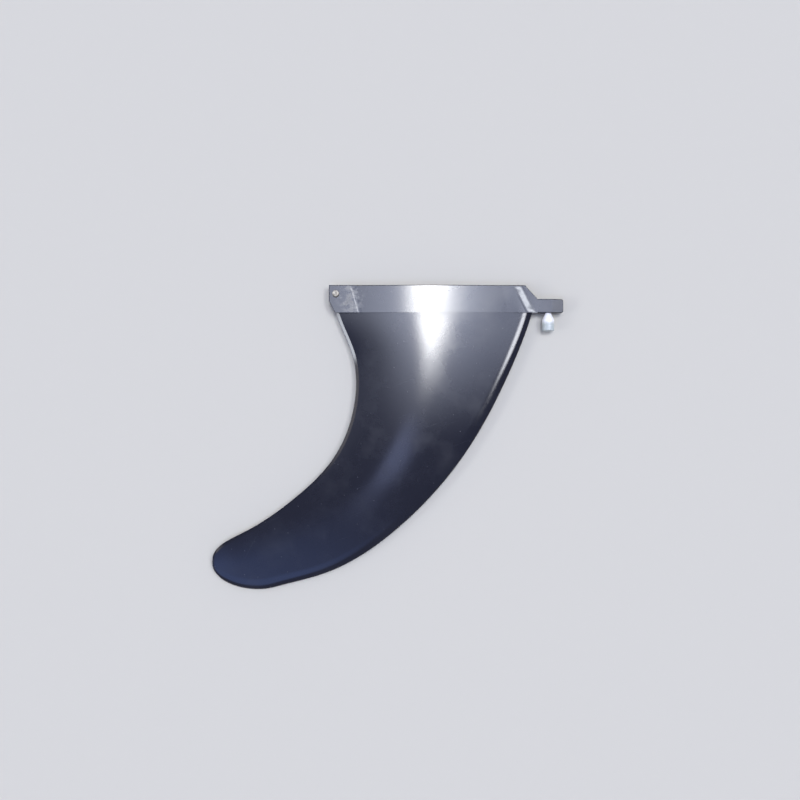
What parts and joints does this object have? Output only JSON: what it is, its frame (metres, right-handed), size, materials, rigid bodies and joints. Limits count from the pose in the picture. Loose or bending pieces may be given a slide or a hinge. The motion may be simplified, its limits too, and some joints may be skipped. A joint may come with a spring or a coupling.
{
  "type": "surfboard fin",
  "caption": "Swept moulded longboard fin with a flat tongue for a fin box, a cross pin at the rear and a fixing screw in the front tab.",
  "frame": {"origin": "middle of the flat seat edge of the tongue, on the fin's mid-plane", "axes": "+X forward along the board, +Y up into the fin box, +Z across the fin's thickness; the fin lies on its side"},
  "size_m": [0.2538, 0.2193, 0.0126],
  "materials": {
    "fin_plastic": "glossy black moulded plastic with fine scratches and dust",
    "pin_metal": "dull worn metal",
    "screw_plastic": "satin white plastic"
  },
  "bodies": {
    "root": {"fin_body": "fin_plastic", "roller_pin": "pin_metal", "fixing_screw": "screw_plastic"}
  },
  "joints": []
}
